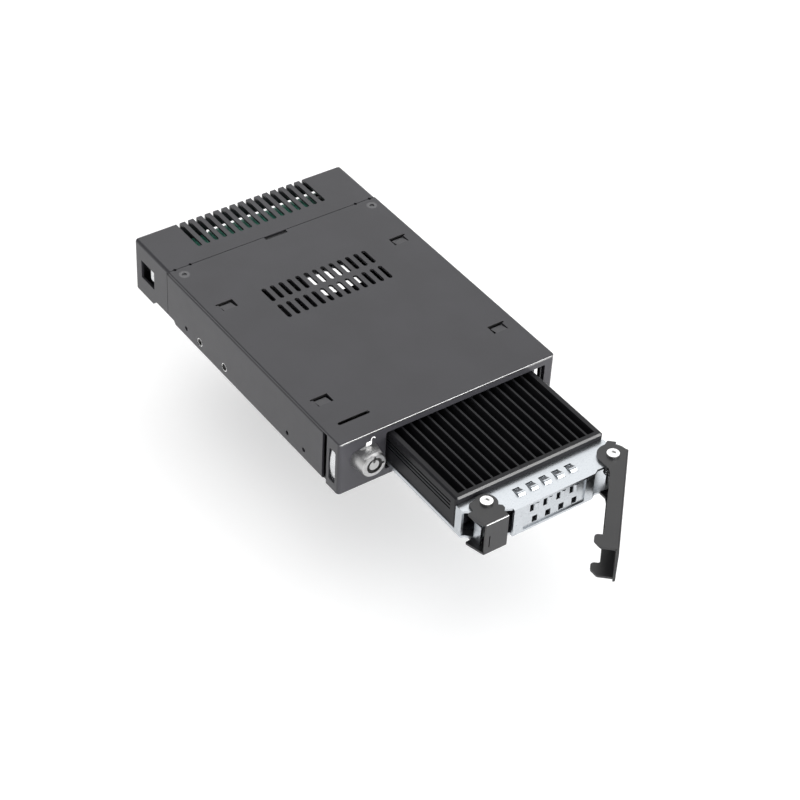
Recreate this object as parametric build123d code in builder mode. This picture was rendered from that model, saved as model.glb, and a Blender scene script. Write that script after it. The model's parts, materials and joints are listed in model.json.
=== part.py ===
from build123d import *
import os

# Overall sizes of the enclosure, in millimetres
LENGTH = 152.0
WIDTH = 101.6
HEIGHT = 25.0
SHEET = 1.0
BEND = 1.4
EDGE_ROUND = 0.6
FACE_GAP = 0.1
RUNNING = 0.05

# Tray and the play round it; it is shown pulled out
PULLED_OUT = 57.5
TRAY_X = 6.15
TRAY_WIDTH = 69.1
TRAY_BOTTOM = 3.8
SIDE_PLAY = 0.6
SLIDE_PLAY = 0.3

# Front bezel, and the room that its window leaves round the tray
BEZEL_SHEET = 1.2
BEZEL_DEPTH = 8.2
WINDOW_ROOM_LEFT = 1.0
WINDOW_ROOM_RIGHT = 5.6
WINDOW_ROOM_LOW = 0.8
WINDOW_ROOM_HIGH = 0.5
WINDOW_CORNER = 0.8
LEAF_WINDOW_WIDTH = 4.2
LEAF_WINDOW_FRONT = 2.4
LEAF_WINDOW_LOW = 3.7
LEAF_WINDOW_DROP = 5.6
LEAF_SHEET = 0.4
LEAF_BULGE = 0.7
LEAF_LAP = 1.2
LEAF_PLAY = 0.4

# Walls, covers and their seams; REAR_COVER_LENGTH runs forward from the rear
WALL_FRONT = 11.1
REAR_COVER_LENGTH = 27.6
REAR_BEND = 1.2
SEAM_STEP = 1.3
SEAM_GAP = 0.3
SEAM_NOTCH = (10.7, 1.8)
FLANGE_WIDTH = 5.0
TAB_WIDTH = 3.8
TAB_LENGTH = 10.2

# Vents; the rows of the top cover are measured forward from its rear edge
VENT_PITCH = 4.05
VENT_WIDTH = 2.0
VENT_LENGTH = 9.2
VENT_COUNT = 13
VENT_ROWS = (33.6, 45.6)
REAR_VENT_COUNT = 16
REAR_VENT_LENGTH = 18.8
REAR_VENT_DROP = 3.2
FLOOR_VENT_COUNT = 5
FLOOR_VENT_X = 21.75
FLOOR_VENT_WIDTH = 2.6
FLOOR_VENT_LENGTH = 15.5
FLOOR_VENT_BACK = 14.45

# Hooked windows of the top cover: a tab, lanced and pressed down, between slots
HOOK_INSET = 8.7
HOOK_FRONT = 24.45
HOOK_BACK = 31.35
HOOK_LENGTH = 7.8
HOOK_WIDTH = 6.4
HOOK_TAB = 4.9
HOOK_DROP = 0.8
HOOK_SLOT = 0.8
HOOK_INNER_SLOT = 1.0
HOOK_OUTER_SLOT = 1.4

# Slot above the lock, and relief holes at the rear corners of the top cover
TOP_SLOT = (14.3, 1.6)
TOP_SLOT_INSET = 13.4
TOP_SLOT_Y = 10.4
RELIEF_RADIUS = 0.65
RELIEF_INSETS = (10.2, 3.0)

# Screws: shank radius, head radius, head height; and their places
M2 = (0.9, 1.5, 0.9)
M25 = (1.2, 2.25, 1.0)
M3 = (1.4, 2.7, 1.6)
SCREW_RECESS = 0.5
COVER_SCREW_INSET = 4.8
COVER_SCREW_BACK = 4.4
COVER_SCREW_LENGTH = 4.0
BEZEL_SCREW_INSET = 8.8
BEZEL_SCREW_Y = 5.2
BEZEL_SCREW_LENGTH = 3.0
REAR_SCREW_INSET = 5.6
REAR_SCREW_Z = 9.0
REAR_SCREW_LENGTH = 5.0

# Side walls: threaded inserts, small plain holes and a notch across the seam
SIDE_HOLE_Z = 5.0
NUT_BORE = 1.5
NUT_COLLAR = 1.9
NUT_FLANGE = 3.1
NUT_LENGTH = 2.6
NUT_PLACES = (81.9, 100.6)
SMALL_HOLE = 1.0
SMALL_HOLE_PLACES = (23.8, 35.4)
SMALL_HOLE_BACK = 14.6
FOOT_NOTCH = (4.5, 9.7)
FOOT_NOTCH_HEIGHT = 2.4

# Rear cover: connector window, side windows with a spring clip, rear tabs
REAR_WINDOW_LEFT = -17.0
REAR_WINDOW_INSET = 10.8
REAR_WINDOW_Z = (2.6, 16.8)
CLIP_WINDOW = (15.4, 5.0)
CLIP_WINDOW_Z = (8.1, 16.8)
CLIP_PLATE = (6.2, 8.0)
CLIP_PLATE_Z = 14.6
CLIP_LAP = 2.0
CLIP_SHEET = 0.5
REAR_TAB_INSET = 10.2

# Guide rails of the tray bay
GUIDE_FRONT = 18.0
GUIDE_BACK = 2.0
GUIDE_SHEET = 1.5
GUIDE_LIP = 3.4
GUIDE_FOOT = 6.6
GUIDE_SCREW_INSET = 12.0

# Heat sink; TRAY_HEADROOM is the room above it
TRAY_HEADROOM = 4.0
SINK_FRONT = 14.0
SINK_LENGTH = 100.0
SINK_CORNER = 1.2
SINK_CHAMFER = 0.7
SINK_SIDE_GAP = 1.8
SINK_WALL = 2.5
SINK_BASE = (11.5, 13.0)
FIN_COUNT = 15
FIN_THICKNESS = 0.8
GROOVE_DROPS = (3.8, 5.5, 7.2)
GROOVE_HEIGHT = 0.7
GROOVE_DEPTH = 0.5
GROOVE_START = 3.4
LEDGE_HEIGHT = 3.3
LEDGE_DEPTH = 0.4
LEDGE_START = 2.4
BOSS_RADIUS = 2.6
BOSS_INSET = 5.4
BOSS_SCREW_LENGTH = 5.5

# Front bracket: sheet with a stepped face, louvres above and ports in the face
BRACKET_FACE = 0.3
BRACKET_DROP = 3.0
BRACKET_LEFT_CORNERS = ((-3.4, -3.4), (1.4, -4.4), (0, 1.4))
BRACKET_RIGHT_CORNERS = ((2.0, 1.2), (0, -3.4), (-1.2, -2.2))
POST_WIDTH = (4.8, 4.1)
POST_GAP = (6.9, 11.4)
CHEEK_LENGTH = 3.8
CHEEK_CORNER = (1.4, 0.6)
PANEL_STEP = 0.6
TONGUE_LENGTH = 5.4
TONGUE_SIDE = 6.0
BRACKET_SCREW_PLACES = (6.0, 13.0)
BRACKET_SCREW_LENGTH = 2.4
STOP_TAB = (4.8, 1.0)
STOP_TAB_DEPTH = (1.2, 4.0)
LOUVRE_COUNT = 5
LOUVRE_MARGIN = 1.6
LOUVRE_SHIFT = 0.25
LOUVRE_WIDTH = 3.2
LOUVRE_RISE = 1.3
LOUVRE_CREST = 1.4
LOUVRE_ROUND = 0.8
LOUVRE_SLOT = 0.3
LOUVRE_SHEET = 0.7
LOUVRE_SPAN = (4.9, 9.9)
PORT_COUNT = 4
PORT_MARGIN = 4.1
UPPER_PORT = (3.2, 4.0)
UPPER_PORT_DROP = 3.1
UPPER_PORT_SHIFT = -0.55
LOWER_PORT = (2.4, 3.0)
LOWER_PORT_RISE = 3.6
LOWER_PORT_SHIFT = 0.55
HOOD_RADIUS = 1.3
HOOD_SHEET = 0.5
HOOD_HEIGHT = 3.4

# Pivots of the lever and the catch, each with a coil spring round it
PIVOT_RADIUS = 1.5
PIVOT_HEAD_RADIUS = 2.5
PIVOT_HEAD = 0.9
PIVOT_RIVET = 0.5
EAR_PLAY = 0.1
SPRING_WIRE = 0.35
SPRING_RADIUS = 2.5
SPRING_PITCH = 1.1
SPRING_HEIGHT = 3.3

# Lever, measured from its pivot; its length follows from the catch
LEVER_PIVOT_INSET = 3.2
LEVER_PIVOT_Y = 4.1
LEVER_OPEN = 47.1
LEVER_EAR = 6.2
LEVER_WEB = 5.7
LEVER_HEEL = 4.07
LEVER_END_GAP = 1.3
LEVER_HOOK_INSET = 1.2
LEVER_HOOK_WIDTH = 6.6
LEVER_HOOK_REACH = 3.8
LEVER_HOOK_SLOPE = 3.0
LEVER_HOOK_NOSE = 1.2
CAM_TOE = ((7.6, -1.0), (7.6, 2.7))
CAM_TOE_ROUND = 0.5
LEVER_SHOULDER = ((0, 5.6), (-5.0, 3.8), (-8.1, 1.0), (-11.0, 0.4))
FOLD_ROUND = 0.8

# Catch, measured from its pivot
CATCH_PIVOT_INSET = 9.8
CATCH_PIVOT_Y = 8.6
CATCH_EAR = 4.4
CATCH_WEB = 10.0
CATCH_LEFT = 7.1
CATCH_RIGHT = 3.0
CATCH_REAR = ((0, 4.0), (-6.4, 2.6), (-6.7, -1.1))
CATCH_FINGER = (-9.5, -1.2)
CATCH_NOSE = ((3.0, -7.0), (4.2, -5.8), (4.2, -4.2), (3.0, -3.2))
CATCH_CORNER = 0.4
CATCH_LIP = (1.0, 0.6, 0.8)
CATCH_GROOVE = (5.1, 0.5, 0.4)
CATCH_GROOVE_Z = (7.3, 12.9)

# Tray board, its drive socket and standoff, and the plug at its rear
TRAY_BOARD_GAP = 0.4
TRAY_BOARD_SHEET = 1.2
TRAY_BOARD_WIDTH = 24.0
TRAY_BOARD_START = 6.5
TRAY_BOARD_CORNER = 0.8
TRAY_SCREW_INSETS = (2.5, 2.2)
TRAY_PAD_RADIUS = 1.8
M2_SOCKET_LENGTH = 7.0
M2_SOCKET_BACK = 6.2
M2_SOCKET_HEIGHT = 4.0
M2_SOCKET_CHAMFER = 1.2
M2_SLOT = (0.1, 0.9, 4.0)
SSD_STANDOFF_START = 4.1
SSD_STANDOFF_RADIUS = 2.2
SSD_STANDOFF_HEIGHT = 2.2
PAD_HALF_WIDTH = 11.0
PAD_SHEET = 0.8
PAD_MARGIN = 3.0
PLUG_BODY = 2.6
PLUG_TONGUE = 3.8
PLUG_TONGUE_Z = (1.2, 2.8)
PLUG_HALF_WIDTH = 10.0
PLUG_CHAMFER = 0.4

# Main board at the rear and what stands on it; places are from its middle
BOARD_TOP = 15.4
BOARD_SHEET = 1.6
BOARD_START = 3.0
BOARD_REAR_GAP = 1.4
BOARD_LIP = 0.8
BOARD_HALF_WIDTH = 39.0
STANDOFF_RADIUS = 2.5
STANDOFF_THREAD = 6.0
STANDOFF_INSET = 3.2
STANDOFF_MARGINS = (6.0, 4.6)
BOARD_SCREW_LENGTH = 5.0
CHIPS = (
    (6.0, -0.3, 12.0, 12.0, 1.2),
    (-14.0, -3.3, 7.0, 7.0, 1.0),
    (-24.0, 4.7, 5.0, 6.5, 1.6),
    (23.0, 5.7, 6.0, 5.0, 1.4),
)
CAPACITORS = ((-31.0, -0.3), (-24.5, -3.3))
CAPACITOR = (2.5, 5.4, 0.4)

# Connectors below the main board: width, height, depth
SOCKET_PLAY = 0.8
SOCKET_LENGTH = 9.0
SOCKET_HALF_WIDTH = 12.0
SOCKET_LOW = 5.0
SOCKET_BRIDGE = 1.2
SOCKET_MOUTH_PLAY = (0.2, 0.15, 0.6)
DATA_X = 25.8
DATA_CAGE = (14.6, 9.2, 20.0)
DATA_MOUTH = (13.2, 7.6, 13.0)
DATA_REAR_GAP = 0.4
POWER_X = -3.5
POWER_SHROUD = (24.0, 6.4, 11.0)
POWER_MOUTH = (21.2, 4.6, 8.0)
POWER_REAR_GAP = 0.6
POWER_BLADE = (18.4, 1.2, 0.8)

# Lock: turned housing with a flat above, nut, core and cam
LOCK_GAP = 9.7
LOCK_Z = 14.7
LOCK_BASE = 6.2
LOCK_FACE = 5.3
LOCK_PROUD = 6.8
LOCK_COLLAR = 1.0
LOCK_FLAT = 3.7
LOCK_CHAMFER = 0.4
LOCK_SHANK = 4.4
LOCK_SHANK_REAR = 12.0
LOCK_BORE = 3.5
LOCK_POST = 2.2
LOCK_KEYWAY = (1.0, 0.8, 1.6)
LOCK_NUT = (6.3, 2.4)
CAM_REACH = 10.2
CAM_HUB = 4.0
CAM_SHEET = 1.2
CAM_SQUARE = 4.0
CAM_PLAY = 0.4
CAM_SCREW_HEAD = (3.0, 1.2)
CAM_SCREW_LENGTH = 2.6

# Values that follow from those above
FRONT = -LENGTH / 2
REAR = LENGTH / 2
HALF = WIDTH / 2
INNER_HALF = HALF - SHEET
COVER_BOTTOM = HEIGHT - SHEET
COVER_REAR = LENGTH - REAR_COVER_LENGTH
SEAM = COVER_REAR + SEAM_STEP
TRAY_LEFT = TRAY_X - TRAY_WIDTH / 2
TRAY_RIGHT = TRAY_X + TRAY_WIDTH / 2
PAN_TOP = TRAY_BOTTOM + SHEET
SINK_BOTTOM = PAN_TOP + SINK_SIDE_GAP
SINK_TOP = HEIGHT - TRAY_HEADROOM
SINK_REAR = SINK_FRONT + SINK_LENGTH
WINDOW_LEFT = TRAY_LEFT - WINDOW_ROOM_LEFT
WINDOW_RIGHT = TRAY_RIGHT + WINDOW_ROOM_RIGHT
WINDOW_BOTTOM = TRAY_BOTTOM - WINDOW_ROOM_LOW
WINDOW_TOP = SINK_TOP + WINDOW_ROOM_HIGH
LEAF_WINDOW_HIGH = HEIGHT - LEAF_WINDOW_DROP
LOCK_X = WINDOW_LEFT - LOCK_GAP
CAM_FRONT = LOCK_SHANK_REAR + CAM_PLAY
BRACKET_TOP = SINK_TOP - BRACKET_DROP
EAR_TOP = BRACKET_TOP + EAR_PLAY + SHEET
EAR_BOTTOM = PAN_TOP - EAR_PLAY - SHEET
LEVER_X = TRAY_RIGHT - LEVER_PIVOT_INSET
CATCH_X = TRAY_LEFT + CATCH_PIVOT_INSET
LEVER_LENGTH = LEVER_X - CATCH_X - CATCH_RIGHT - LEVER_END_GAP
HOOK_X = HALF - HOOK_INSET
HOOK_PLACES = (HOOK_FRONT, COVER_REAR - HOOK_BACK)
COVER_SCREW_X = HALF - COVER_SCREW_INSET
COVER_SCREW_Y = COVER_REAR - COVER_SCREW_BACK
BEZEL_SCREW_X = HALF - BEZEL_SCREW_INSET
REAR_SCREW_X = HALF - REAR_SCREW_INSET
REAR_WINDOW = (REAR_WINDOW_LEFT, HALF - REAR_WINDOW_INSET)
GUIDE_REAR = SINK_REAR - GUIDE_BACK
GUIDE_FACE = TRAY_LEFT - SIDE_PLAY
GUIDE_SCREW_X = GUIDE_FACE - GUIDE_SHEET + (GUIDE_FOOT - SHEET) / 2
GUIDE_SCREWS_X = (GUIDE_SCREW_X, 2 * TRAY_X - GUIDE_SCREW_X)
GUIDE_SCREWS_Y = (GUIDE_FRONT + GUIDE_SCREW_INSET, GUIDE_REAR - GUIDE_SCREW_INSET)
BOSSES_X = (TRAY_LEFT + BOSS_INSET, TRAY_RIGHT - BOSS_INSET)
BOSSES_Y = (SINK_FRONT + BOSS_INSET, SINK_REAR - BOSS_INSET)
LEFT_POST = (CATCH_X + POST_GAP[0], CATCH_X + POST_GAP[0] + POST_WIDTH[0])
RIGHT_POST = (LEVER_X - POST_GAP[1] - POST_WIDTH[1], LEVER_X - POST_GAP[1])
PANEL_WIDTH = RIGHT_POST[0] - LEFT_POST[1]
PANEL_MIDDLE = (RIGHT_POST[0] + LEFT_POST[1]) / 2
BRACKET_SCREWS_X = (CATCH_X + BRACKET_SCREW_PLACES[0], LEVER_X - BRACKET_SCREW_PLACES[1])
BRACKET_SCREWS_Y = SINK_FRONT + TONGUE_LENGTH / 2
TRAY_BOARD_LOW = PAN_TOP + TRAY_BOARD_GAP
TRAY_BOARD_TOP = TRAY_BOARD_LOW + TRAY_BOARD_SHEET
TRAY_BOARD_FRONT = SINK_FRONT + TRAY_BOARD_START
TRAY_BOARD_REAR = SINK_REAR - SHEET
PLUG_FACE = TRAY_BOARD_REAR + TRAY_BOARD_SHEET
PLUG_TIP = PLUG_FACE + PLUG_TONGUE
M2_SOCKET_REAR = PLUG_FACE - M2_SOCKET_BACK
M2_SOCKET_FRONT = M2_SOCKET_REAR - M2_SOCKET_LENGTH
M2_SOCKET_TOP = TRAY_BOARD_TOP + M2_SOCKET_HEIGHT
SSD_STANDOFF_Y = TRAY_BOARD_FRONT + SSD_STANDOFF_START
SSD_STANDOFF_TOP = TRAY_BOARD_TOP + SSD_STANDOFF_HEIGHT
TRAY_SCREW_X = TRAY_BOARD_WIDTH / 2 - TRAY_SCREW_INSETS[0]
TRAY_SCREWS_Y = (TRAY_BOARD_FRONT + TRAY_SCREW_INSETS[1], (M2_SOCKET_REAR + PLUG_FACE - PLUG_BODY) / 2)
SOCKET_FACE = PLUG_FACE + SOCKET_PLAY
BOARD_LOW = BOARD_TOP - BOARD_SHEET
BOARD_FRONT = SOCKET_FACE + BOARD_START
BOARD_REAR = LENGTH - BOARD_REAR_GAP
BOARD_MIDDLE = (BOARD_FRONT + BOARD_REAR) / 2
STANDOFF_X = BOARD_HALF_WIDTH - STANDOFF_INSET
STANDOFFS_Y = (BOARD_FRONT + STANDOFF_MARGINS[0], BOARD_REAR - STANDOFF_MARGINS[1])
MIN3 = (Align.MIN, Align.MIN, Align.MIN)


def depth(distance):
    """Y of a point this far behind the bezel's face."""
    return FRONT + distance


def tray(distance):
    """Y of a point of the tray, given its depth with the tray home."""
    return depth(distance) - PULLED_OUT


def facing_front(y):
    """Upright plane at y, seen from the front: local x is X, local y is Z."""
    return Plane.XZ.offset(-y)


def block(x, y, z, mode=Mode.ADD):
    """Box between two limits on each axis, the limits of X in either order."""
    with Locations((min(x), y[0], z[0])):
        Box(abs(x[1] - x[0]), y[1] - y[0], z[1] - z[0], align=MIN3, mode=mode)


def disc(x, y, low, high, radius, mode=Mode.ADD):
    """Upright round bar or hole between two heights."""
    with Locations((x, y, low)):
        Cylinder(radius, high - low, align=(Align.CENTER, Align.CENTER, Align.MIN), mode=mode)


def rear_disc(x, z, y, length, radius, mode=Mode.ADD):
    """Round bar or hole that lies along Y and runs back from y."""
    with BuildSketch(facing_front(y)) as circle:
        with Locations((x, z)):
            Circle(radius)
    extrude(circle.sketch, amount=-length, mode=mode)


def side_disc(side, place, height, inset, length, radius, mode=Mode.ADD):
    """Round bar or hole that lies along X and runs inward from a side."""
    with BuildSketch(Plane.YZ.offset(side * (HALF - inset))) as circle:
        with Locations((depth(place), height)):
            Circle(radius)
    extrude(circle.sketch, amount=-side * length, mode=mode)


def countersink(x, y, face, size, length, upward=1, mode=Mode.ADD):
    """Flat-head screw, or the hole for one, with its head flush in the face at that height."""
    shank, head, _ = size
    cone = head - shank
    low, high = sorted((face - upward * cone, face))
    with Locations((x, y, (low + high) / 2)):
        if upward > 0:
            Cone(shank, head, cone, mode=mode)
        else:
            Cone(head, shank, cone, mode=mode)
    start, end = sorted((face - upward * cone, face - upward * length))
    disc(x, y, start, end, shank, mode)


def hex_recess(x, y, face, radius, deep, upward=1):
    """Driver recess in a screw's head."""
    with BuildSketch(Plane.XY.offset(face)) as recess:
        with Locations((x, y)):
            RegularPolygon(radius, 6)
    extrude(recess.sketch, amount=-upward * deep, mode=Mode.SUBTRACT)


def rear_hex_recess(x, z, y, radius, deep):
    """Driver recess in the head of a screw that faces the rear."""
    with BuildSketch(facing_front(y)) as recess:
        with Locations((x, z)):
            RegularPolygon(radius, 6)
    extrude(recess.sketch, amount=deep, mode=Mode.SUBTRACT)


def pan_screw(x, y, seat, size, length):
    """Screw with a round head that stands on the seat and a shank that reaches below it."""
    shank, head, height = size
    disc(x, y, seat, seat + height, head)
    disc(x, y, seat - length, seat, shank)
    hex_recess(x, y, seat + height, head / 2, height / 2)


def flat_screw(x, y, face, size, length, upward=1):
    """Screw with a head flush in the face."""
    countersink(x, y, face, size, length, upward)
    hex_recess(x, y, face, size[1] / 2, SCREW_RECESS, upward)


def pivot_screw(x, y):
    """Shouldered screw that passes through both ears, with its lower end peened over."""
    disc(x, y, EAR_BOTTOM - RUNNING, EAR_TOP + RUNNING, PIVOT_RADIUS)
    disc(x, y, EAR_TOP + RUNNING, EAR_TOP + RUNNING + PIVOT_HEAD, PIVOT_HEAD_RADIUS)
    disc(x, y, EAR_BOTTOM - RUNNING - PIVOT_RIVET, EAR_BOTTOM - RUNNING, PIVOT_RADIUS + PIVOT_RIVET)
    hex_recess(x, y, EAR_TOP + RUNNING + PIVOT_HEAD, PIVOT_HEAD_RADIUS / 2, SCREW_RECESS)


def pivot_spring(x, y):
    """Coil spring round a pivot, halfway between the flanges of the bracket."""
    base = (PAN_TOP + BRACKET_TOP - SPRING_HEIGHT) / 2
    with BuildLine() as coil:
        Helix(pitch=SPRING_PITCH, height=SPRING_HEIGHT, radius=SPRING_RADIUS, center=(x, y, base))
    with BuildSketch(Plane(origin=coil.line @ 0, z_dir=coil.line % 0)) as wire:
        RegularPolygon(SPRING_WIRE, 4)
    sweep(wire.sketch, path=coil.line)


def foot_notch(side):
    """Notch with sloping ends along a bottom edge, across the seam of the side wall."""
    start, end = SEAM - FOOT_NOTCH[0], SEAM + FOOT_NOTCH[1]
    with BuildSketch(Plane.YZ.offset(side * HALF)) as notch:
        with BuildLine():
            Polyline(
                (depth(start - FOOT_NOTCH_HEIGHT), 0),
                (depth(start), FOOT_NOTCH_HEIGHT),
                (depth(end), FOOT_NOTCH_HEIGHT),
                (depth(end + FOOT_NOTCH_HEIGHT), 0),
                close=True,
            )
        make_face()
    extrude(notch.sketch, amount=-side * 2 * SHEET, mode=Mode.SUBTRACT)


def finish(builder, name):
    """Label a piece and write its file."""
    builder.part.label = name
    export_step(builder.part, f"parts/{name}.step")


os.makedirs("parts", exist_ok=True)

# Bottom chassis: floor, side walls and narrow flanges folded in at the top
with BuildPart() as bottom_chassis:
    with BuildSketch(facing_front(depth(WALL_FRONT))):
        with Locations((0, COVER_BOTTOM / 2)):
            RectangleRounded(WIDTH, COVER_BOTTOM, BEND)
            RectangleRounded(WIDTH - 2 * SHEET, COVER_BOTTOM - 2 * SHEET, BEND - SHEET, mode=Mode.SUBTRACT)
        with Locations((0, COVER_BOTTOM)):
            Rectangle(2 * (INNER_HALF - FLANGE_WIDTH), 4 * SHEET, mode=Mode.SUBTRACT)
    extrude(amount=-(SEAM - WALL_FRONT))
    # floor runs on between the bezel's wings and between the rear cover's wings
    floor_half = INNER_HALF - FACE_GAP
    block((-floor_half, floor_half), (depth(BEZEL_SHEET + FACE_GAP), REAR - SHEET - FACE_GAP), (0, SHEET))
    for side in (-1, 1):
        # tab under the cover for its screw
        x_limits = (side * (COVER_SCREW_X - TAB_WIDTH), side * (INNER_HALF - FLANGE_WIDTH + FACE_GAP))
        block(x_limits, (depth(SEAM - TAB_LENGTH), depth(SEAM)), (COVER_BOTTOM - SHEET, COVER_BOTTOM))
        # upturned rear tab that the rear cover's screw pulls on
        x_limits = (side * (HALF - REAR_TAB_INSET), side * floor_half)
        block(x_limits, (REAR - 2 * SHEET - FACE_GAP, REAR - SHEET - FACE_GAP), (0, BOARD_LOW))
        rear_disc(side * REAR_SCREW_X, REAR_SCREW_Z, REAR - 4 * SHEET, 4 * SHEET, M3[0] + RUNNING,
                  Mode.SUBTRACT)
        disc(side * COVER_SCREW_X, depth(COVER_SCREW_Y), COVER_BOTTOM - SHEET, COVER_BOTTOM, M25[0] + RUNNING,
             Mode.SUBTRACT)
        countersink(side * BEZEL_SCREW_X, depth(BEZEL_SCREW_Y), 0, M25, SHEET, -1, Mode.SUBTRACT)
        for place in NUT_PLACES:
            side_disc(side, place, SIDE_HOLE_Z, 0, SHEET, NUT_COLLAR, Mode.SUBTRACT)
        for place in (*SMALL_HOLE_PLACES, SEAM - SMALL_HOLE_BACK):
            side_disc(side, place, SIDE_HOLE_Z, 0, SHEET, SMALL_HOLE, Mode.SUBTRACT)
        foot_notch(side)
    # holes for the flat screws that hold the guide rails
    for x in GUIDE_SCREWS_X:
        for place in GUIDE_SCREWS_Y:
            countersink(x, depth(place), 0, M25, SHEET, -1, Mode.SUBTRACT)
    # air slots in the floor
    with BuildSketch():
        with Locations((FLOOR_VENT_X, depth(SEAM - FLOOR_VENT_BACK))):
            with GridLocations(VENT_PITCH, 0, FLOOR_VENT_COUNT, 1):
                SlotOverall(FLOOR_VENT_LENGTH, FLOOR_VENT_WIDTH, rotation=90)
    extrude(amount=SHEET, mode=Mode.SUBTRACT)
finish(bottom_chassis, "bottom_chassis")

# Top cover: flat plate with rounded edges, vents, hooked windows and a seam notch
with BuildPart() as top_cover:
    with BuildSketch(Plane.XY.offset(COVER_BOTTOM)):
        with Locations((0, depth(COVER_REAR / 2))):
            Rectangle(WIDTH, COVER_REAR)
    extrude(amount=SHEET)
    fillet(top_cover.edges().filter_by(Axis.Z).group_by(Axis.Y)[0], radius=BEND)
    fillet(top_cover.edges().group_by(Axis.Z)[-1].sort_by(Axis.Y)[:-1], radius=EDGE_ROUND)
    with BuildSketch(Plane.XY.offset(HEIGHT)):
        for row in VENT_ROWS:
            with Locations((0, depth(COVER_REAR - row))):
                with GridLocations(VENT_PITCH, 0, VENT_COUNT, 1):
                    SlotOverall(VENT_LENGTH, VENT_WIDTH, rotation=90)
        with Locations((TOP_SLOT_INSET - HALF, depth(TOP_SLOT_Y))):
            SlotOverall(*TOP_SLOT)
        with Locations((0, depth(COVER_REAR))):
            Rectangle(SEAM_NOTCH[0], 2 * SEAM_NOTCH[1])
            for inset in RELIEF_INSETS:
                with GridLocations(2 * (HALF - inset), 0, 2, 1):
                    Circle(RELIEF_RADIUS)
    extrude(amount=-SHEET, mode=Mode.SUBTRACT)
    for side in (-1, 1):
        countersink(side * COVER_SCREW_X, depth(COVER_SCREW_Y), HEIGHT, M25, SHEET, mode=Mode.SUBTRACT)
        for place in HOOK_PLACES:
            hook_rear = depth(place + HOOK_WIDTH / 2)
            hook_front = hook_rear - HOOK_TAB
            inner_edge, outer_edge = HOOK_X - HOOK_LENGTH / 2, HOOK_X + HOOK_LENGTH / 2
            block((side * inner_edge, side * (outer_edge - HOOK_OUTER_SLOT + HOOK_SLOT / 2)),
                  (hook_front, hook_rear), (COVER_BOTTOM, HEIGHT), Mode.SUBTRACT)
            block((side * inner_edge, side * outer_edge),
                  (hook_rear - HOOK_SLOT, hook_rear), (COVER_BOTTOM, HEIGHT), Mode.SUBTRACT)
            tab_start, tab_end = inner_edge + HOOK_INNER_SLOT, outer_edge - HOOK_OUTER_SLOT
            with BuildSketch(Plane.YZ.offset(side * tab_start)):
                with BuildLine():
                    Polyline(
                        (hook_front, COVER_BOTTOM),
                        (hook_front, HEIGHT),
                        (hook_rear - HOOK_SLOT, HEIGHT - HOOK_DROP),
                        (hook_rear - HOOK_SLOT, COVER_BOTTOM - HOOK_DROP),
                        close=True,
                    )
                make_face()
            extrude(amount=side * (tab_end - tab_start))
finish(top_cover, "top_cover")

# Rear cover: folded box end with vents over its rear bend and a connector window
with BuildPart() as rear_cover:
    with BuildSketch(facing_front(depth(COVER_REAR + SEAM_GAP))):
        RectangleRounded(WIDTH, 2 * HEIGHT, BEND)
        with Locations((0, -HEIGHT)):
            Rectangle(2 * WIDTH, 2 * HEIGHT, mode=Mode.SUBTRACT)
    extrude(amount=-(REAR_COVER_LENGTH - SEAM_GAP))
    fillet(rear_cover.edges().group_by(Axis.Y)[-1].sort_by(Axis.Z)[1:], radius=REAR_BEND)
    with BuildSketch(facing_front(depth(COVER_REAR + SEAM_GAP))):
        RectangleRounded(WIDTH - 2 * SHEET, 2 * COVER_BOTTOM, BEND - SHEET)
    extrude(amount=-(REAR_COVER_LENGTH - SEAM_GAP - SHEET), mode=Mode.SUBTRACT)
    # wings start behind the seam; the top reaches a little further forward
    block((-WIDTH, WIDTH), (FRONT, depth(SEAM + SEAM_GAP)), (-SHEET, COVER_BOTTOM), Mode.SUBTRACT)
    with BuildSketch(Plane.XY.offset(HEIGHT)):
        with Locations((0, depth(LENGTH))):
            with GridLocations(VENT_PITCH, 0, REAR_VENT_COUNT, 1):
                SlotOverall(2 * REAR_VENT_LENGTH, VENT_WIDTH, rotation=90)
        with Locations((0, depth(COVER_REAR + SEAM_GAP))):
            for inset in RELIEF_INSETS:
                with GridLocations(2 * (HALF - inset), 0, 2, 1):
                    Circle(RELIEF_RADIUS)
    extrude(amount=-REAR_VENT_DROP, mode=Mode.SUBTRACT)
    block(REAR_WINDOW, (REAR - 2 * SHEET, REAR + SHEET), REAR_WINDOW_Z, Mode.SUBTRACT)
    for side in (-1, 1):
        foot_notch(side)
        block((side * (HALF + SHEET), side * (HALF - 2 * SHEET)),
              (REAR - CLIP_WINDOW[0], REAR - CLIP_WINDOW[1]), CLIP_WINDOW_Z, Mode.SUBTRACT)
        rear_disc(side * REAR_SCREW_X, REAR_SCREW_Z, REAR - 2 * SHEET, 2 * SHEET, M3[0] + RUNNING,
                  Mode.SUBTRACT)
finish(rear_cover, "rear_cover")

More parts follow.
